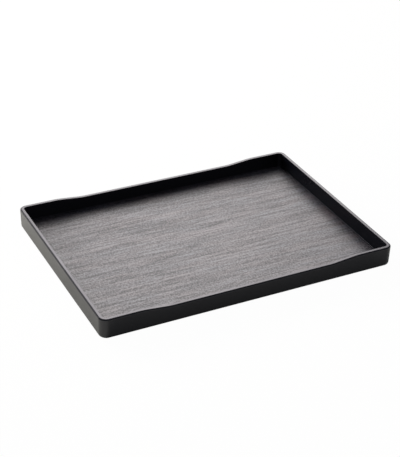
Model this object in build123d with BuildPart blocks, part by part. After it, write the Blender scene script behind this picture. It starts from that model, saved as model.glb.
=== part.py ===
"""Low rectangular tea tray: a moulded shell, a laid-in wood-grain floor and four rubber feet.

Lengths are in millimetres. The origin is on the table under the middle of the tray.
X runs along the long sides, Y from the front long side to the rear one, and Z up.
"""

import os
from math import radians, tan

from build123d import *

# Moulded shell, measured over the rim at the tray's ends
tray_length = 300.0
tray_width = 216.0
shell_height = 20.5
wall_thickness = 4.0
wall_draft = 1.0  # degrees from upright, so the tray is a little wider at its rim
corner_radius = 7.5
base_thickness = 2.8

# Rounded edges of the shell
rim_outer_round = 1.5
rim_inner_round = 0.5
bottom_round = 2.6
floor_fillet = 0.35

# Dip in each long rim, where the fingers take hold
dip_depth = 2.7
dip_shoulder = 41.0  # rim that stays at full height at each end
dip_ramp = 26.0
dip_bend_radius = 80.0

# Hollow under the base, inside the band that runs round the tray's foot
foot_band_width = 5.5
hollow_depth = 1.2
hollow_edge_round = 0.5

# Wood-grain floor panel, glued into a recess that leaves a narrow ledge at the walls
panel_thickness = 0.8
panel_clearance = 0.2
panel_edge_round = 0.15
ledge_width = 1.1
film_thickness = 0.2
film_inset = 1.5

# Rubber feet, each glued into a round socket under the base
foot_lift = 0.8  # gap between the table and the shell
foot_diameter = 12.0
foot_inset = 27.0  # from the tray's sides to a foot's middle
foot_edge_round = 0.6
socket_depth = 0.6
socket_clearance = 0.2
disc_thickness = 0.15
disc_inset = 0.7

# How far cutting shapes run past the surface that they cut
overrun = 3.0

# How nearly upwards a face looks, from 0 for a wall to 1 for a level face
facing_up_share = 0.9

# Heights of the main surfaces above the table
underside_z = foot_lift
hollow_z = underside_z + hollow_depth
socket_z = hollow_z + socket_depth
disc_z = socket_z - disc_thickness
base_top_z = hollow_z + base_thickness
panel_z = base_top_z + film_thickness
floor_z = panel_z + panel_thickness
rim_z = underside_z + shell_height
blank_z = rim_z + overrun

# Plan sizes that follow from the walls
inner_corner_radius = max(corner_radius - wall_thickness, 2 * floor_fillet)
foot_spacing_x = tray_length - 2 * foot_inset
foot_spacing_y = tray_width - 2 * foot_inset


def plan_at(z, inset, radius):
    """Length, width and corner radius of the drafted outline at height z, moved in by inset."""
    shift = (z - rim_z) * tan(radians(wall_draft))
    return tray_length - 2 * inset + 2 * shift, tray_width - 2 * inset + 2 * shift, radius + shift


def border(faces):
    """The edges round a group of faces that join each other, without the edges between them."""
    edges = [edge for face in faces for edge in face.edges()]
    return ShapeList(edge for edge in edges if sum(edge.is_same(other) for other in edges) == 1)


def rim_faces(builder):
    """The level and gently sloping faces that make the line of the rim."""
    upward = builder.faces().filter_by(lambda face: face.normal_at().Z > facing_up_share)
    return upward.filter_by(lambda face: face.center().Z > rim_z - dip_depth - rim_inner_round)


recess_length, recess_width, recess_radius = plan_at(
    floor_z, wall_thickness + ledge_width, max(inner_corner_radius - ledge_width, 2 * floor_fillet)
)
panel_length = recess_length - 2 * panel_clearance
panel_width = recess_width - 2 * panel_clearance
panel_radius = recess_radius - panel_clearance
hollow_length, hollow_width, hollow_radius = plan_at(
    underside_z, foot_band_width, max(corner_radius - foot_band_width, 2 * hollow_edge_round)
)

# Shell: base and walls in one moulding
with BuildPart() as tray_body:
    with BuildSketch(Plane.XY.offset(blank_z)):
        RectangleRounded(*plan_at(blank_z, 0, corner_radius))
    extrude(amount=underside_z - blank_z, taper=wall_draft)

    # Everything above the rim's line is cut away: high at the ends, low between them
    end_x = tray_length / 2 + overrun
    high_x = tray_length / 2 - dip_shoulder
    low_x = high_x - dip_ramp
    low_z = rim_z - dip_depth
    with BuildSketch(Plane.XZ):
        with BuildLine():
            rim_line = FilletPolyline(
                (-end_x, rim_z),
                (-high_x, rim_z),
                (-low_x, low_z),
                (low_x, low_z),
                (high_x, rim_z),
                (end_x, rim_z),
                radius=dip_bend_radius,
            )
            Polyline(rim_line @ 1, (end_x, blank_z + overrun), (-end_x, blank_z + overrun), rim_line @ 0)
        make_face()
    extrude(amount=tray_width, both=True, mode=Mode.SUBTRACT)
    fillet(border(rim_faces(tray_body)), rim_outer_round)
    fillet(tray_body.faces().sort_by(Axis.Z)[0].edges(), bottom_round)

    # Inside of the tray, with a small fillet at the foot of its walls
    with BuildSketch(Plane.XY.offset(blank_z)):
        RectangleRounded(*plan_at(blank_z, wall_thickness, inner_corner_radius))
    extrude(amount=floor_z - blank_z, taper=wall_draft, mode=Mode.SUBTRACT)
    fillet(tray_body.faces().filter_by(Plane.XY).sort_by(Axis.Z)[1].edges(), floor_fillet)
    flat_middle = (wall_thickness + rim_outer_round) / 2
    inner_rim = border(rim_faces(tray_body)).filter_by(
        lambda edge: abs(edge.center().X) < tray_length / 2 - flat_middle
        and abs(edge.center().Y) < tray_width / 2 - flat_middle
    )
    fillet(inner_rim, rim_inner_round)

    # Recess for the floor panel and the adhesive film under it
    with BuildSketch(Plane.XY.offset(floor_z)):
        RectangleRounded(recess_length, recess_width, recess_radius)
    extrude(amount=base_top_z - floor_z, mode=Mode.SUBTRACT)

    # Hollow underside, which leaves a foot band all round
    with BuildSketch(Plane.XY.offset(underside_z)):
        RectangleRounded(hollow_length, hollow_width, hollow_radius)
    extrude(amount=hollow_depth, mode=Mode.SUBTRACT)
    band_face = tray_body.faces().filter_by(Plane.XY).sort_by(Axis.Z)[0]
    fillet(band_face.inner_wires()[0].edges(), hollow_edge_round)

    # Round sockets that the feet sit in
    with BuildSketch(Plane.XY.offset(hollow_z)):
        with GridLocations(foot_spacing_x, foot_spacing_y, 2, 2):
            Circle(foot_diameter / 2 + socket_clearance)
    extrude(amount=socket_depth, mode=Mode.SUBTRACT)
tray_body.part.label = "tray_body"

# Adhesive film that holds the floor panel
with BuildPart() as floor_film:
    with BuildSketch(Plane.XY.offset(base_top_z)):
        RectangleRounded(panel_length - 2 * film_inset, panel_width - 2 * film_inset, panel_radius)
    extrude(amount=film_thickness)
floor_film.part.label = "floor_film"

# Wood-grain floor panel, level with the ledge round it
with BuildPart() as floor_panel:
    with BuildSketch(Plane.XY.offset(panel_z)):
        RectangleRounded(panel_length, panel_width, panel_radius)
    extrude(amount=panel_thickness)
    fillet(floor_panel.faces().sort_by(Axis.Z)[-1].edges(), panel_edge_round)
floor_panel.part.label = "floor_panel"

# Adhesive discs, one at the top of each socket
with BuildPart() as foot_discs:
    with BuildSketch(Plane.XY.offset(disc_z)):
        with GridLocations(foot_spacing_x, foot_spacing_y, 2, 2):
            Circle(foot_diameter / 2 - disc_inset)
    extrude(amount=disc_thickness)
foot_discs.part.label = "foot_discs"

os.makedirs("parts", exist_ok=True)
export_step(tray_body.part, "parts/tray_body.step")
export_step(floor_film.part, "parts/floor_film.step")
export_step(floor_panel.part, "parts/floor_panel.step")
export_step(foot_discs.part, "parts/foot_discs.step")

# Rubber feet, which stand on the table and carry the shell clear of it
foot_sides = {
    "front_left_foot": (-1, -1),
    "front_right_foot": (1, -1),
    "rear_left_foot": (-1, 1),
    "rear_right_foot": (1, 1),
}
for foot_name, (side_x, side_y) in foot_sides.items():
    with BuildPart() as foot:
        with BuildSketch(Plane((side_x * foot_spacing_x / 2, side_y * foot_spacing_y / 2, disc_z))):
            Circle(foot_diameter / 2)
        extrude(amount=-disc_z)
        fillet(foot.faces().sort_by(Axis.Z)[0].edges(), foot_edge_round)
    foot.part.label = foot_name
    export_step(foot.part, f"parts/{foot_name}.step")
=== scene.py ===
"""Dresses a low tea tray: satin black moulded shell, embossed wood-grain floor and rubber feet.

The file is laid out as an add-on, and main() runs its operators in order.
Lengths are in metres, in the CAD model's frame: X along the long sides, Y to the rear, Z up.
"""

import math

import bmesh
import bpy
from bpy.props import FloatProperty, FloatVectorProperty, PointerProperty
from mathutils import Matrix, Vector


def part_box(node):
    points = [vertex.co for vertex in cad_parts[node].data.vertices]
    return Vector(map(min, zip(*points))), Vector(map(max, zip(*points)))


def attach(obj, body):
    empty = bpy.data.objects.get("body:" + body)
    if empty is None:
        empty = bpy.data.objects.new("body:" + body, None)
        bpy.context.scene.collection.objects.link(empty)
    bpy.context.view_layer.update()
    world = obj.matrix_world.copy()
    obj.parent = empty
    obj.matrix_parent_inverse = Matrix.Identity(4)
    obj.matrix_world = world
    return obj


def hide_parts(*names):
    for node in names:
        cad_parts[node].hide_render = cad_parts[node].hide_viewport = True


bl_info = {
    "name": "Tea Tray",
    "version": (1, 0, 0),
    "blender": (4, 5, 0),
    "location": "3D View > Sidebar > Tea Tray",
    "description": "Models and finishes a low tea tray with dipped long rims and a wood-grain floor",
    "category": "Add Mesh",
}

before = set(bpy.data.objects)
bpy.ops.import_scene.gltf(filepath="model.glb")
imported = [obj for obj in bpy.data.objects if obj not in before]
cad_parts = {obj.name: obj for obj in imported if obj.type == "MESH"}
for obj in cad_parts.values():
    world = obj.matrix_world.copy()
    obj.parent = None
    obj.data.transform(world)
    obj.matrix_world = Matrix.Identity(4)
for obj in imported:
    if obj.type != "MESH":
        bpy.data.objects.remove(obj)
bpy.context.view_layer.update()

MM = 0.001
BODY = "root"
FEET = ("front_left_foot", "front_right_foot", "rear_left_foot", "rear_right_foot")
SHELL_LOW, SHELL_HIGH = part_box("tray_body")
PANEL_LOW, PANEL_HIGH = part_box("floor_panel")
RIM_Z = SHELL_HIGH.z
UNDERSIDE_Z = SHELL_LOW.z
FLOOR_Z = PANEL_HIGH.z
RECESS_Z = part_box("floor_film")[0].z
SNAP = 1e-7  # how near to a plane a corner counts as lying in it
LEVEL = 0.9  # a face whose unit normal rises or falls by more than this counts as level
SMOOTH_ANGLE = math.radians(35)  # edges sharper than this stay sharp


def linear(hex_colour):
    """Linear red, green, blue and alpha of an sRGB colour written as six hex digits."""
    channels = [int(hex_colour[i : i + 2], 16) / 255 for i in (0, 2, 4)]
    return [c / 12.92 if c <= 0.04045 else ((c + 0.055) / 1.055) ** 2.4 for c in channels] + [1.0]


def length_property(name, description, default):
    return FloatProperty(name=name, description=description, default=default, unit="LENGTH", precision=4)


def angle_property(name, description, degrees):
    return FloatProperty(name=name, description=description, default=math.radians(degrees), subtype="ANGLE")


def patch_property(name, description, along, across):
    """The size of a patch of the grain, along it and across it."""
    return FloatVectorProperty(
        name=name, description=description, default=(along, across), size=2, unit="LENGTH", precision=4
    )


def colour_property(name, description, hex_colour):
    return FloatVectorProperty(
        name=name,
        description=description,
        default=linear(hex_colour),
        size=4,
        subtype="COLOR",
        min=0,
        max=1,
    )


class TeaTrayShellSettings(bpy.types.PropertyGroup):
    wall: length_property("Wall", "Thickness of the walls", 4.0 * MM)
    draft: angle_property("Draft", "Lean of the walls", 1)
    corner: length_property("Corner Radius", "Radius of the outer corners at the rim", 7.5 * MM)
    dip_depth: length_property("Dip Depth", "How far the long rims dip", 2.7 * MM)
    dip_shoulder: length_property("Dip Shoulder", "Full-height rim left at each end", 41 * MM)
    dip_ramp: length_property("Dip Ramp", "Length of the slope into the dip", 26 * MM)
    dip_bend: length_property("Dip Bend", "Radius that rounds both ends of the slope", 80 * MM)
    outer_round: length_property("Outer Round", "Round of the rim's outer edge", 1.5 * MM)
    inner_round: length_property("Inner Round", "Round of the rim's inner edge", 0.5 * MM)
    bottom_round: length_property("Bottom Round", "Round under the walls", 2.6 * MM)
    fillet: length_property("Floor Fillet", "Fillet at the foot of the inner walls", 0.35 * MM)
    ledge: length_property("Ledge", "Ledge round the floor panel", 1.1 * MM)
    band: length_property("Foot Band", "Width of the band round the underside", 5.5 * MM)
    hollow_depth: length_property("Hollow", "Depth of the hollow underside", 1.2 * MM)
    hollow_round: length_property("Hollow Round", "Round of the hollow's edge", 0.5 * MM)
    socket_depth: length_property("Socket Depth", "Depth of the sockets for the feet", 0.6 * MM)
    socket_gap: length_property("Socket Gap", "Gap between a foot and its socket", 0.2 * MM)
    colour: colour_property("Lacquer", "Black of the lacquered moulding", "06070c")


class TeaTrayFloorSettings(bpy.types.PropertyGroup):
    corner: length_property("Corner Radius", "Radius of the panel's corners", 1.9 * MM)
    step_along: length_property("Step Along", "Mesh step along the grain", 3.0 * MM)
    step_across: length_property("Step Across", "Mesh step across the grain", 0.45 * MM)
    plain_strip: length_property("Plain Strip", "Smooth strip along the border", 0.3 * MM)
    streak_size: patch_property("Streak Size", "Length and width of the streaks", 34 * MM, 2.4 * MM)
    streak_depth: length_property("Streak Depth", "How deep the streaks are pressed", 0.05 * MM)
    pore_size: patch_property("Pore Size", "Length and width of the pores", 8 * MM, 0.9 * MM)
    pore_depth: length_property("Pore Depth", "How deep the pores are pressed", 0.05 * MM)
    dark: colour_property("Dark Grain", "Late wood and pores", "0c0b10")
    pale: colour_property("Pale Grain", "Early wood", "3a3b45")
    warm: colour_property("Warm Grain", "Early wood in the browner bands", "433b41")

    def presses(self):
        """Length, width and depth of each layer of relief.

        Real pores are narrower, too fine to show, so they are drawn about two mesh steps wide.
        """
        return (*self.streak_size, self.streak_depth), (*self.pore_size, self.pore_depth)


class TeaTrayFeetSettings(bpy.types.PropertyGroup):
    edge: length_property("Edge Round", "Round of the foot's lower edge", 0.6 * MM)
    lip: length_property("Lip", "Flat ring that stands on the table", 1.8 * MM)
    dish: length_property("Dish", "Depth of the dish inside the ring", 0.35 * MM)
    colour: colour_property("Rubber", "Charcoal rubber", "2b2b2c")


class TeaTrayStageSettings(bpy.types.PropertyGroup):
    azimuth: angle_property("Azimuth", "How far round the tray the camera stands", -27.08)
    elevation: angle_property("Elevation", "How steeply the camera looks down", 30.93)
    roll: angle_property("Roll", "How far the camera is turned about its own line of sight", 1.59)
    distance: length_property("Distance", "From the camera to the tray's middle", 1200.6 * MM)
    aim_right: length_property("Aim Right", "Aim beside the tray's middle, in the picture", -1.63 * MM)
    aim_up: length_property("Aim Up", "Aim above the tray's middle, in the picture", 15.24 * MM)
    lens: FloatProperty(name="Lens", description="Focal length on a 36 mm sensor", default=96.63, min=1)


def select_only(piece):
    """Makes piece the one selected and active object."""
    bpy.ops.object.select_all(action="DESELECT")
    piece.select_set(True)
    bpy.context.view_layer.objects.active = piece


def new_primitive(add, name, **settings):
    """Adds a primitive, names it, brings its place and size into its mesh and opens it for editing."""
    bpy.ops.object.select_all(action="DESELECT")
    add(**settings)
    piece = bpy.context.active_object
    piece.name = name
    piece.data.name = name
    bpy.ops.object.transform_apply(location=True, rotation=True, scale=True)
    bpy.ops.object.mode_set(mode="EDIT")
    return piece


def pick(piece, kind, wanted):
    """In edit mode, selects only the verts, edges or faces that the test picks out."""
    bpy.ops.mesh.select_mode(type={"verts": "VERT", "edges": "EDGE", "faces": "FACE"}[kind])
    bpy.ops.mesh.select_all(action="DESELECT")
    mesh = bmesh.from_edit_mesh(piece.data)
    mesh.normal_update()
    chosen = [item for item in getattr(mesh, kind) if wanted(item)]
    if not chosen:
        raise RuntimeError(f"{piece.name}: no {kind} to select")
    for item in chosen:
        item.select_set(True)
    mesh.select_flush_mode()
    bmesh.update_edit_mesh(piece.data)


def bevel(width, segments):
    """Rounds the selected edges."""
    bpy.ops.mesh.bevel(offset=width, segments=segments, profile=0.5, affect="EDGES", clamp_overlap=False)


def apply_modifier(piece, kind, **settings):
    """Adds a modifier to the selected piece, sets it and applies it."""
    bpy.ops.object.modifier_add(type=kind)
    modifier = piece.modifiers[-1]
    for key, value in settings.items():
        setattr(modifier, key, value)
    bpy.ops.object.modifier_apply(modifier=modifier.name)


def smooth(piece):
    """Shades the piece smooth, with its flats kept flat and its sharp edges kept sharp."""
    select_only(piece)
    bpy.ops.object.shade_smooth_by_angle(angle=SMOOTH_ANGLE)
    apply_modifier(piece, "WEIGHTED_NORMAL", mode="FACE_AREA", weight=50, keep_sharp=True)


def finish_piece(piece, material, slot, *nodes):
    """Gives a piece its material and its body, and hides the CAD nodes that it stands for. The slot is not
    used.
    """
    piece.data.materials.clear()
    piece.data.materials.append(material)
    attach(piece, BODY)
    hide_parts(*nodes)


def add_node(tree, kind, inputs=None, **settings):
    """Adds a shader node, sets it, and fills its sockets with values or links them to other sockets."""
    node = tree.nodes.new(kind)
    for key, value in settings.items():
        setattr(node, key, value)
    for key, value in (inputs or {}).items():
        if isinstance(value, bpy.types.NodeSocket):
            tree.links.new(value, node.inputs[key])
        else:
            node.inputs[key].default_value = value
    return node


def new_material(name):
    """An empty material, its node tree, and the object coordinates to pattern it by."""
    material = bpy.data.materials.new(name)
    material.use_nodes = True
    tree = material.node_tree
    tree.nodes.clear()
    place = add_node(tree, "ShaderNodeTexCoord").outputs["Object"]
    return material, tree, place


def set_surface(tree, inputs):
    """Gives a material its Principled shader, with its sockets filled."""
    shader = add_node(tree, "ShaderNodeBsdfPrincipled", inputs)
    add_node(tree, "ShaderNodeOutputMaterial", {"Surface": shader.outputs["BSDF"]})


def lacquered_moulding(colour):
    """ABS moulding sprayed with satin black lacquer: near black, an even soft gloss, faint orange peel."""
    material, tree, place = new_material("lacquered_moulding")
    peel = add_node(tree, "ShaderNodeTexNoise", {"Vector": place, "Scale": 1 / (1.2 * MM), "Detail": 2.0})
    cloud = add_node(tree, "ShaderNodeTexNoise", {"Vector": place, "Scale": 1 / (35 * MM), "Detail": 3.0})
    gloss = add_node(
        tree,
        "ShaderNodeMapRange",
        {"Value": cloud.outputs["Fac"], "From Min": 0.3, "From Max": 0.7, "To Min": 0.27, "To Max": 0.33},
    )
    bump = add_node(
        tree, "ShaderNodeBump", {"Height": peel.outputs["Fac"], "Strength": 0.1, "Distance": 0.01 * MM}
    )
    set_surface(
        tree,
        {
            "Base Color": colour,
            "Roughness": gloss.outputs["Result"],
            "IOR": 1.6,
            "Specular Tint": linear("f2f0f8"),
            "Normal": bump.outputs["Normal"],
        },
    )
    return material


def grain_laminate(dark, pale, warm):
    """Decorative laminate, pressed with wood grain: charcoal streaks, fine pores and a satin face.

    The print drifts between a cool and a browner charcoal from band to band, as real wood does.
    """
    material, tree, place = new_material("grain_laminate")

    def grain(along, across, detail, distortion=0.0):
        """Noise drawn out along the grain; the two lengths are the size of its patches."""
        scale = (1 / along, 1 / across, 1 / across)
        stretched = add_node(tree, "ShaderNodeMapping", {"Vector": place, "Scale": scale}).outputs["Vector"]
        return add_node(
            tree,
            "ShaderNodeTexNoise",
            {"Vector": stretched, "Scale": 1.0, "Detail": detail, "Distortion": distortion},
        ).outputs["Fac"]

    def blend(first, second, share):
        """Two layers in one, with that share of the second."""
        return add_node(tree, "ShaderNodeMix", {"Factor": share, "A": first, "B": second}).outputs["Result"]

    bands = grain(along=120 * MM, across=11 * MM, detail=1.0, distortion=0.4)
    long_streaks = grain(along=80 * MM, across=3 * MM, detail=2.0, distortion=0.1)
    short_streaks = grain(along=26 * MM, across=2.2 * MM, detail=2.0)
    # Real speckle is finer, too fine to show in the render, so it is drawn this coarse
    speckle = grain(along=1.5 * MM, across=1.8 * MM, detail=1.0)
    streaks = blend(long_streaks, short_streaks, share=0.45)
    figure = blend(blend(bands, streaks, share=0.85), speckle, share=0.42)
    tone = add_node(
        tree, "ShaderNodeMapRange", {"Value": figure, "From Min": 0.41, "From Max": 0.59}
    ).outputs["Result"]
    drift = add_node(
        tree,
        "ShaderNodeMapRange",
        {
            "Value": grain(along=45 * MM, across=9 * MM, detail=1.0, distortion=0.2),
            "From Min": 0.35,
            "From Max": 0.65,
        },
    ).outputs["Result"]
    early_wood = add_node(
        tree, "ShaderNodeMix", {"Factor": drift, "A": pale, "B": warm}, data_type="RGBA"
    ).outputs["Result"]
    colour = add_node(tree, "ShaderNodeMix", {"Factor": tone, "A": dark, "B": early_wood}, data_type="RGBA")
    gloss = add_node(tree, "ShaderNodeMapRange", {"Value": tone, "To Min": 0.46, "To Max": 0.38})
    sheen = add_node(tree, "ShaderNodeMapRange", {"Value": tone, "To Min": 0.385, "To Max": 0.635})
    bump = add_node(tree, "ShaderNodeBump", {"Height": figure, "Strength": 1.0, "Distance": 0.2 * MM})
    set_surface(
        tree,
        {
            "Base Color": colour.outputs["Result"],
            "Roughness": gloss.outputs["Result"],
            "IOR": 1.6,
            "Specular IOR Level": sheen.outputs["Result"],
            "Normal": bump.outputs["Normal"],
        },
    )
    return material


def foot_rubber(colour):
    """Moulded rubber: charcoal, quite matt, with a faint dusty bloom."""
    material, tree, place = new_material("foot_rubber")
    bloom = add_node(tree, "ShaderNodeTexNoise", {"Vector": place, "Scale": 1 / (3 * MM), "Detail": 4.0})
    grit = add_node(tree, "ShaderNodeTexNoise", {"Vector": place, "Scale": 1 / (0.3 * MM), "Detail": 1.0})
    bloom_gain = 1.7
    dusty = [min(1, channel * bloom_gain) for channel in colour[:3]] + [1.0]
    shade = add_node(
        tree, "ShaderNodeMix", {"Factor": bloom.outputs["Fac"], "A": colour, "B": dusty}, data_type="RGBA"
    )
    bump = add_node(
        tree, "ShaderNodeBump", {"Height": grit.outputs["Fac"], "Strength": 0.3, "Distance": 0.02 * MM}
    )
    set_surface(
        tree,
        {
            "Base Color": shade.outputs["Result"],
            "Roughness": 0.8,
            "IOR": 1.45,
            "Normal": bump.outputs["Normal"],
        },
    )
    return material


def acrylic_adhesive():
    """Acrylic transfer adhesive: milky and glassy, with small trapped bubbles."""
    material, tree, place = new_material("acrylic_adhesive")
    milky = add_node(tree, "ShaderNodeTexNoise", {"Vector": place, "Scale": 1 / (4 * MM), "Detail": 3.0})
    bubbles = add_node(tree, "ShaderNodeTexVoronoi", {"Vector": place, "Scale": 1 / (1.5 * MM)})
    shade = add_node(
        tree,
        "ShaderNodeMix",
        {"Factor": milky.outputs["Fac"], "A": linear("c6c6bd"), "B": linear("e4e4dc")},
        data_type="RGBA",
    )
    bump = add_node(
        tree,
        "ShaderNodeBump",
        {"Height": bubbles.outputs["Distance"], "Strength": 0.2, "Distance": 0.02 * MM},
    )
    set_surface(
        tree,
        {
            "Base Color": shade.outputs["Result"],
            "Roughness": 0.3,
            "IOR": 1.48,
            "Normal": bump.outputs["Normal"],
        },
    )
    return material


class TeaTrayShell(bpy.types.Operator):
    """Models the moulded shell, with its dipped rim, panel recess, hollow underside and foot sockets"""

    bl_idname = "tea_tray.shell"
    bl_label = "Moulded Shell"

    BEND_STEPS = 5
    CORNER_STEPS = 12
    SOCKET_SIDES = 48

    def execute(self, context):
        shell = context.scene.tea_tray_shell
        lean = math.tan(shell.draft)
        rounded_off = 2 * shell.outer_round * lean  # the rim's round takes this off the widest outline
        size = SHELL_HIGH - SHELL_LOW + Vector((rounded_off, rounded_off, 0))
        piece = new_primitive(
            bpy.ops.mesh.primitive_cube_add,
            "shell",
            size=1,
            location=(SHELL_LOW + SHELL_HIGH) / 2,
            scale=size,
        )
        pick(piece, "edges", lambda edge: abs(edge.verts[0].co.z - edge.verts[1].co.z) > size.z / 2)
        bevel(shell.corner, segments=self.CORNER_STEPS)
        self.scale_level(piece, UNDERSIDE_Z, size, size.z * lean)
        self.cut_dip(piece, shell)
        self.sink_inside(piece, shell, size, lean)
        self.round_edges(piece, shell)
        self.cut_floor_and_underside(piece, shell)
        bpy.ops.object.mode_set(mode="OBJECT")
        self.cut_sockets(piece, shell)
        smooth(piece)
        finish_piece(piece, lacquered_moulding(shell.colour), "moulded_shell", "tray_body")
        return {"FINISHED"}

    def scale_level(self, piece, height, size, shrink):
        """Draws the outline at one height in by shrink on every side."""
        pick(piece, "verts", lambda vert: abs(vert.co.z - height) < SNAP)
        factors = ((size.x - 2 * shrink) / size.x, (size.y - 2 * shrink) / size.y, 1)
        bpy.ops.transform.resize(value=factors, center_override=(0, 0, height))

    def cut_dip(self, piece, shell):
        """Cuts the block across at steps along the dip's bends, then lowers the top at each cut."""
        angle = math.atan2(shell.dip_depth, shell.dip_ramp)
        tangent = shell.dip_bend * math.tan(angle / 2)
        reach = shell.dip_bend * math.sin(angle)
        high_x = SHELL_HIGH.x - shell.dip_shoulder
        low_x = high_x - shell.dip_ramp
        falls = {}
        for step in range(self.BEND_STEPS + 1):
            along = reach * step / self.BEND_STEPS
            drop = shell.dip_bend - math.sqrt(shell.dip_bend**2 - along**2)
            falls[high_x + tangent - along] = drop
            falls[low_x - tangent + along] = shell.dip_depth - drop
        for station in falls:
            for x in (-station, station):
                bpy.ops.mesh.select_all(action="SELECT")
                bpy.ops.mesh.bisect(plane_co=(x, 0, 0), plane_no=(1, 0, 0), threshold=SNAP)
        for station, fall in falls.items():
            pick(
                piece,
                "verts",
                lambda vert: abs(abs(vert.co.x) - station) < SNAP and vert.co.z > RIM_Z - SNAP,
            )
            bpy.ops.transform.translate(value=(0, 0, -fall))

    def sink_inside(self, piece, shell, size, lean):
        """Insets the top by the wall and pushes it down to the floor."""
        middle_z = (RIM_Z + UNDERSIDE_Z) / 2
        pick(piece, "faces", lambda face: face.normal.z > LEVEL)
        bpy.ops.mesh.inset(thickness=shell.wall, depth=0)
        bpy.ops.mesh.extrude_region_move(TRANSFORM_OT_translate={"value": (0, 0, middle_z - RIM_Z)})
        shrink = 2 * (RIM_Z - FLOOR_Z) * lean
        inside = size.x - 2 * shell.wall, size.y - 2 * shell.wall
        factors = (1 - shrink / inside[0], 1 - shrink / inside[1], 0)
        bpy.ops.transform.resize(value=factors, center_override=(0, 0, FLOOR_Z))
        bpy.ops.mesh.dissolve_faces()
        pick(piece, "faces", lambda face: face.normal.z < -LEVEL)
        bpy.ops.mesh.dissolve_faces()

    def looks(self, face):
        """Whether a face looks up, down, out from the tray's middle, or in towards it."""
        if abs(face.normal.z) > LEVEL:
            return "up" if face.normal.z > 0 else "down"
        middle = face.calc_center_median()
        return "out" if face.normal.x * middle.x + face.normal.y * middle.y > 0 else "in"

    def between(self, piece, first, second, low, high):
        """Selects the edges between faces that look two given ways, in a band of heights."""

        def wanted(edge):
            ways = sorted(self.looks(face) for face in edge.link_faces)
            height = (edge.verts[0].co.z + edge.verts[1].co.z) / 2
            return ways == sorted((first, second)) and low < height < high

        pick(piece, "edges", wanted)

    def round_edges(self, piece, shell):
        """Rounds the foot of the inner walls, the bottom, and both edges of the rim."""
        low_rim = RIM_Z - shell.dip_depth - shell.outer_round
        self.between(piece, "up", "in", UNDERSIDE_Z, low_rim)
        bevel(shell.fillet, segments=3)
        self.between(piece, "down", "out", 0, FLOOR_Z)
        bevel(shell.bottom_round, segments=7)
        self.between(piece, "up", "in", low_rim, RIM_Z + SNAP)
        bevel(shell.inner_round, segments=3)
        self.between(piece, "up", "out", low_rim, RIM_Z + SNAP)
        bevel(shell.outer_round, segments=6)

    def cut_floor_and_underside(self, piece, shell):
        """Sinks the recess for the floor panel, and the hollow inside the foot band."""
        pick(
            piece,
            "faces",
            lambda face: face.normal.z > LEVEL and abs(face.calc_center_median().z - FLOOR_Z) < SNAP,
        )
        bpy.ops.mesh.inset(thickness=shell.ledge - shell.fillet, depth=0)
        bpy.ops.mesh.extrude_region_move(TRANSFORM_OT_translate={"value": (0, 0, RECESS_Z - FLOOR_Z)})
        pick(
            piece,
            "faces",
            lambda face: face.normal.z < -LEVEL and abs(face.calc_center_median().z - UNDERSIDE_Z) < SNAP,
        )
        bpy.ops.mesh.inset(thickness=shell.band - shell.bottom_round, depth=0)
        bpy.ops.mesh.extrude_region_move(TRANSFORM_OT_translate={"value": (0, 0, shell.hollow_depth)})
        self.between(piece, "down", "in", 0, UNDERSIDE_Z + SNAP)
        bevel(shell.hollow_round, segments=3)

    def cut_sockets(self, piece, shell):
        """Cuts a round socket for each foot with a boolean."""
        cutters = []
        top = UNDERSIDE_Z + shell.hollow_depth + shell.socket_depth
        for node in FEET:
            low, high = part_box(node)
            radius = (high.x - low.x) / 2 + shell.socket_gap
            cutters.append(
                new_primitive(
                    bpy.ops.mesh.primitive_cylinder_add,
                    "cutter",
                    vertices=self.SOCKET_SIDES,
                    radius=radius,
                    depth=top,
                    location=((low.x + high.x) / 2, (low.y + high.y) / 2, top / 2),
                )
            )
            bpy.ops.object.mode_set(mode="OBJECT")
        for cutter in cutters:
            select_only(piece)
            apply_modifier(piece, "BOOLEAN", object=cutter, operation="DIFFERENCE", solver="EXACT")
            bpy.data.objects.remove(cutter)


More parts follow.
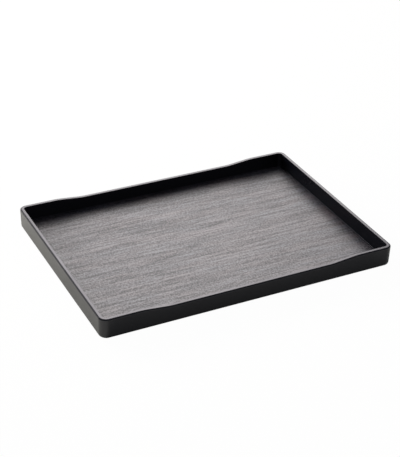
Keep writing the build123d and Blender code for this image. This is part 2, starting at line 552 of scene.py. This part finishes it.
class TeaTrayFloor(bpy.types.Operator):
    """Models the wood-grain panel as a fine sheet with pressed pores and streaks in its face"""

    bl_idname = "tea_tray.floor"
    bl_label = "Wood-Grain Floor"

    CORNER_STEPS = 8
    NEAR_CUT = 0.05 * MM  # a corner of the mesh this near to a cut is taken to lie on it

    def execute(self, context):
        floor = context.scene.tea_tray_floor
        size = PANEL_HIGH - PANEL_LOW
        middle = (PANEL_LOW + PANEL_HIGH) / 2
        piece = new_primitive(
            bpy.ops.mesh.primitive_grid_add,
            "floor_sheet",
            x_subdivisions=round(size.x / floor.step_along),
            y_subdivisions=round(size.y / floor.step_across),
            size=1,
            location=(middle.x, middle.y, FLOOR_Z),
        )
        bpy.ops.transform.resize(value=(size.x, size.y, 1), center_override=(middle.x, middle.y, FLOOR_Z))
        self.round_corners(floor.corner)
        pick(piece, "edges", lambda edge: len(edge.link_faces) == 1)
        bpy.ops.mesh.extrude_edges_move(TRANSFORM_OT_translate={"value": (0, 0, -size.z)})
        bpy.ops.mesh.edge_face_add()
        bpy.ops.mesh.select_all(action="SELECT")
        bpy.ops.mesh.normals_make_consistent(inside=False)
        bpy.ops.object.mode_set(mode="OBJECT")
        self.press_grain(piece, floor)
        select_only(piece)
        bpy.ops.object.shade_smooth_by_angle(angle=SMOOTH_ANGLE)
        laminate = grain_laminate(floor.dark, floor.pale, floor.warm)
        finish_piece(piece, laminate, "wood_grain_laminate", "floor_panel")
        return {"FINISHED"}

    def round_corners(self, corner):
        """Clips each corner of the flat sheet along the short chords of its round."""
        turn = math.pi / 2 / self.CORNER_STEPS
        hub = PANEL_HIGH - Vector((corner, corner, 0))
        for step in range(self.CORNER_STEPS):
            start, middle = turn * step, turn * (step + 0.5)
            point = hub + corner * Vector((math.cos(start), math.sin(start), 0))
            for side in ((-1, -1, 1), (-1, 1, 1), (1, -1, 1), (1, 1, 1)):
                bpy.ops.mesh.select_all(action="SELECT")
                bpy.ops.mesh.bisect(
                    plane_co=point * Vector(side),
                    plane_no=Vector((math.cos(middle), math.sin(middle), 0)) * Vector(side),
                    clear_outer=True,
                    threshold=self.NEAR_CUT,
                )

    def press_grain(self, piece, floor):
        """Presses streaks and pores down into the upper face, and leaves a smooth strip at its border."""
        group = piece.vertex_groups.new(name="grain")
        for vert in piece.data.vertices:
            inside = min(PANEL_HIGH.x - abs(vert.co.x), PANEL_HIGH.y - abs(vert.co.y))
            if vert.co.z > FLOOR_Z - SNAP and inside > floor.plain_strip:
                group.add([vert.index], 1.0, "REPLACE")
        for along, across, depth in floor.presses():
            bpy.ops.object.empty_add(location=(0, 0, 0))
            ruler = bpy.context.active_object
            ruler.scale = (along, across, across)
            texture = bpy.data.textures.new("grain", "CLOUDS")
            texture.noise_scale = 1.0
            texture.noise_depth = 1
            bpy.context.view_layer.update()
            select_only(piece)
            apply_modifier(
                piece,
                "DISPLACE",
                texture=texture,
                texture_coords="OBJECT",
                texture_coords_object=ruler,
                direction="Z",
                mid_level=1.0,
                strength=depth,
                vertex_group="grain",
            )
            bpy.data.objects.remove(ruler)


class TeaTrayFeet(bpy.types.Operator):
    """Models the four rubber feet, each with a standing ring round a shallow dish"""

    bl_idname = "tea_tray.feet"
    bl_label = "Rubber Feet"

    FOOT_SIDES = 64
    DISH_SHARE = 0.9  # width of the dish's floor over that of its mouth
    LIP_ROUND_SHARE = 1 / 3  # round of the ring's inner edge over that of its outer edge
    NEAR_RING = 0.01 * MM  # how near to a circle a corner counts as lying on it

    def execute(self, context):
        feet = context.scene.tea_tray_feet
        rubber = foot_rubber(feet.colour)
        for node in FEET:
            low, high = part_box(node)
            middle = (low + high) / 2
            radius = (high.x - low.x) / 2
            piece = new_primitive(
                bpy.ops.mesh.primitive_cylinder_add,
                node + "_moulding",
                vertices=self.FOOT_SIDES,
                radius=radius,
                depth=high.z - low.z,
                location=middle,
            )
            pick(piece, "faces", lambda face: face.normal.z < -LEVEL)
            bpy.ops.mesh.inset(thickness=feet.lip, depth=0)
            bpy.ops.mesh.extrude_region_move(TRANSFORM_OT_translate={"value": (0, 0, feet.dish)})
            bpy.ops.transform.resize(
                value=(self.DISH_SHARE, self.DISH_SHARE, 1),
                center_override=(middle.x, middle.y, feet.dish),
            )
            bpy.ops.mesh.inset(thickness=feet.dish, depth=0)
            pick(piece, "edges", lambda edge: self.is_ring(edge, low.z, middle, radius))
            bevel(feet.edge, segments=5)
            pick(piece, "edges", lambda edge: self.is_ring(edge, low.z, middle, radius - feet.lip))
            bevel(feet.edge * self.LIP_ROUND_SHARE, segments=3)
            bpy.ops.object.mode_set(mode="OBJECT")
            smooth(piece)
            finish_piece(piece, rubber, "foot_rubber", node)
        return {"FINISHED"}

    def is_ring(self, edge, height, middle, radius):
        """Whether an edge lies on the circle of that radius, at that height, about the foot's middle."""
        return all(
            abs((vert.co.xy - middle.xy).length - radius) < self.NEAR_RING
            and abs(vert.co.z - height) < SNAP
            for vert in edge.verts
        )


class TeaTrayAdhesive(bpy.types.Operator):
    """Finishes the adhesive film and discs, which keep their CAD shapes"""

    bl_idname = "tea_tray.adhesive"
    bl_label = "Adhesive"

    def execute(self, context):
        adhesive = acrylic_adhesive()
        for node in ("floor_film", "foot_discs"):
            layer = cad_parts[node]
            layer.data.materials.clear()
            layer.data.materials.append(adhesive)
        return {"FINISHED"}


class TeaTrayStage(bpy.types.Operator):
    """Sets the table, the soft studio light and the camera"""

    bl_idname = "tea_tray.stage"
    bl_label = "Stage"

    SENSOR_WIDTH = 36  # millimetres, like the lens
    CLIP_END = 20
    TABLE_SIZE = 8
    TABLE_GLOW = 0.98  # share of plain white in the table that the camera sees
    WHITE = "ffffff"
    WARM_WHITE = "fff9f8"
    COOL_STUDIO = "ebeeff"
    MIRRORED_ONCE = (0.18, 1.0)  # strength of the studio and of its backdrop, mirrored once
    MIRRORED_TWICE = (0.2, 0.07)  # the same, mirrored twice
    AMBIENT = 0.28  # strength of the world to a matt surface

    def execute(self, context):
        stage = context.scene.tea_tray_stage
        self.add_camera(context, stage)
        self.add_table()
        self.add_lamps()
        self.set_world(context)
        context.scene.view_settings.view_transform = "Standard"
        return {"FINISHED"}

    def add_camera(self, context, stage):
        """Puts the camera at its distance from the middle of the shell's underside."""
        turn = (
            Matrix.Rotation(stage.azimuth, 4, "Z")
            @ Matrix.Rotation(math.pi / 2 - stage.elevation, 4, "X")
            @ Matrix.Rotation(stage.roll, 4, "Z")
        )
        place = Vector((0, 0, UNDERSIDE_Z)) + turn @ Vector((stage.aim_right, stage.aim_up, stage.distance))
        bpy.ops.object.camera_add(location=place, rotation=turn.to_euler())
        camera = context.active_object
        camera.data.lens = stage.lens
        camera.data.sensor_width = self.SENSOR_WIDTH
        camera.data.clip_end = self.CLIP_END
        context.scene.camera = camera

    def add_table(self):
        """Adds a matt white table, which the camera sees lit almost evenly, with a trace of shadow."""
        bpy.ops.object.select_all(action="DESELECT")
        bpy.ops.mesh.primitive_plane_add(size=self.TABLE_SIZE)
        table = bpy.context.active_object
        table.name = "table"
        material = bpy.data.materials.new("white_table")
        material.use_nodes = True
        tree = material.node_tree
        tree.nodes.clear()
        matt = add_node(tree, "ShaderNodeBsdfDiffuse", {"Color": linear("f2f4f1")})
        glow = add_node(tree, "ShaderNodeEmission", {"Color": linear(self.WHITE), "Strength": 1.0})
        seen = add_node(tree, "ShaderNodeLightPath").outputs["Is Camera Ray"]
        share = add_node(tree, "ShaderNodeMath", {0: seen, 1: self.TABLE_GLOW}, operation="MULTIPLY")
        mixed = add_node(
            tree,
            "ShaderNodeMixShader",
            {0: share.outputs["Value"], 1: matt.outputs["BSDF"], 2: glow.outputs["Emission"]},
        )
        add_node(tree, "ShaderNodeOutputMaterial", {"Surface": mixed.outputs["Shader"]})
        table.data.materials.append(material)

    def add_lamps(self):
        """Two soft boxes that the tray mirrors, and a low fill behind that isn't mirrored.

        The rear box is only mirrored. The upper box and the fill light the tray and the table.
        """
        for name, place, size, power, colour, mirrored, spread in (
            ("rear_softbox", (0.36, 0.72, 0.66), (0.72, 0.8), 5.7, self.WARM_WHITE, True, False),
            ("upper_softbox", (0.22, 0.64, 0.6), (0.55, 0.4), 1.2, self.WARM_WHITE, True, True),
            ("rear_fill", (-0.5, 1.1, 0.45), (1.0, 0.5), 33, "fffaf2", False, True),
        ):
            turn = (-Vector(place)).to_track_quat("-Z", "Y").to_euler()
            bpy.ops.object.light_add(type="AREA", location=place, rotation=turn)
            lamp = bpy.context.active_object
            lamp.name = name
            lamp.data.shape = "RECTANGLE"
            lamp.data.size, lamp.data.size_y = size
            lamp.data.energy = power
            lamp.data.color = linear(colour)[:3]
            lamp.visible_camera = False
            lamp.visible_glossy = mirrored
            lamp.visible_diffuse = spread

    def set_world(self, context):
        """A world that is white to the camera, with a low white backdrop behind for the tray to mirror.

        The rest of what the tray mirrors is a dim, slightly cool studio.
        """
        world = bpy.data.worlds.new("studio")
        world.use_nodes = True
        tree = world.node_tree
        tree.nodes.clear()
        ray = add_node(tree, "ShaderNodeLightPath").outputs
        direction = add_node(tree, "ShaderNodeTexCoord").outputs["Generated"]
        way = add_node(tree, "ShaderNodeSeparateXYZ", {"Vector": direction}).outputs
        low = add_node(
            tree,
            "ShaderNodeMapRange",
            {"Value": way["Z"], "From Min": 0.45, "From Max": 0.85, "To Min": 1.0, "To Max": 0.0},
            interpolation_type="SMOOTHSTEP",
        ).outputs["Result"]
        backdrop = add_node(
            tree,
            "ShaderNodeMapRange",
            {"Value": way["Y"], "From Min": 0.3, "From Max": 0.9, "To Min": 0.0, "To Max": low},
            interpolation_type="SMOOTHSTEP",
        ).outputs["Result"]
        # Light that two faces of the tray mirror at right angles loses most of its polarised part
        once, twice = (
            add_node(
                tree, "ShaderNodeMapRange", {"Value": backdrop, "To Min": dim, "To Max": full}
            ).outputs["Result"]
            for dim, full in (self.MIRRORED_ONCE, self.MIRRORED_TWICE)
        )
        # The depth is 2 after one mirroring and 3 after two
        first = add_node(
            tree, "ShaderNodeMath", {0: ray["Ray Depth"], 1: 2.5}, operation="LESS_THAN"
        ).outputs["Value"]
        studio = add_node(tree, "ShaderNodeMix", {"Factor": first, "A": twice, "B": once}).outputs["Result"]
        mirrored = add_node(
            tree, "ShaderNodeMath", {0: ray["Is Glossy Ray"], 1: studio}, operation="MULTIPLY"
        ).outputs["Value"]
        through = add_node(
            tree,
            "ShaderNodeMath",
            {0: ray["Is Camera Ray"], 1: ray["Is Transmission Ray"]},
            operation="MAXIMUM",
        ).outputs["Value"]
        seen = add_node(
            tree, "ShaderNodeMath", {0: mirrored, 1: through}, operation="MAXIMUM"
        ).outputs["Value"]
        ambient = add_node(
            tree, "ShaderNodeMath", {0: ray["Is Diffuse Ray"], 1: self.AMBIENT}, operation="MULTIPLY"
        ).outputs["Value"]
        strength = add_node(
            tree, "ShaderNodeMath", {0: seen, 1: ambient}, operation="MAXIMUM"
        ).outputs["Value"]
        unmirrored = add_node(
            tree, "ShaderNodeMath", {0: 1.0, 1: ray["Is Glossy Ray"]}, operation="SUBTRACT"
        ).outputs["Value"]
        white = add_node(
            tree, "ShaderNodeMath", {0: backdrop, 1: unmirrored}, operation="MAXIMUM"
        ).outputs["Value"]
        tint = add_node(
            tree,
            "ShaderNodeMix",
            {"Factor": white, "A": linear(self.COOL_STUDIO), "B": linear(self.WHITE)},
            data_type="RGBA",
        ).outputs["Result"]
        back = add_node(tree, "ShaderNodeBackground", {"Color": tint, "Strength": strength})
        add_node(tree, "ShaderNodeOutputWorld", {"Surface": back.outputs["Background"]})
        world.cycles.sampling_method = "NONE"
        context.scene.world = world


class TeaTrayPanel(bpy.types.Panel):
    """Lists the tray's operators in the sidebar"""

    bl_idname = "TEATRAY_PT_main"
    bl_label = "Tea Tray"
    bl_space_type = "VIEW_3D"
    bl_region_type = "UI"
    bl_category = "Tea Tray"

    def draw(self, context):
        for operator in OPERATORS:
            self.layout.operator(operator.bl_idname)


SETTINGS = {
    "tea_tray_shell": TeaTrayShellSettings,
    "tea_tray_floor": TeaTrayFloorSettings,
    "tea_tray_feet": TeaTrayFeetSettings,
    "tea_tray_stage": TeaTrayStageSettings,
}
OPERATORS = (TeaTrayShell, TeaTrayFloor, TeaTrayFeet, TeaTrayAdhesive, TeaTrayStage)


def register():
    for group in (*SETTINGS.values(), *OPERATORS, TeaTrayPanel):
        bpy.utils.register_class(group)
    for name, group in SETTINGS.items():
        setattr(bpy.types.Scene, name, PointerProperty(type=group))


def unregister():
    for name in SETTINGS:
        delattr(bpy.types.Scene, name)
    for group in reversed((*SETTINGS.values(), *OPERATORS, TeaTrayPanel)):
        bpy.utils.unregister_class(group)


def main():
    register()
    bpy.ops.tea_tray.stage()
    bpy.ops.tea_tray.shell()
    bpy.ops.tea_tray.floor()
    bpy.ops.tea_tray.feet()
    bpy.ops.tea_tray.adhesive()


if __name__ == "__main__":
    main()
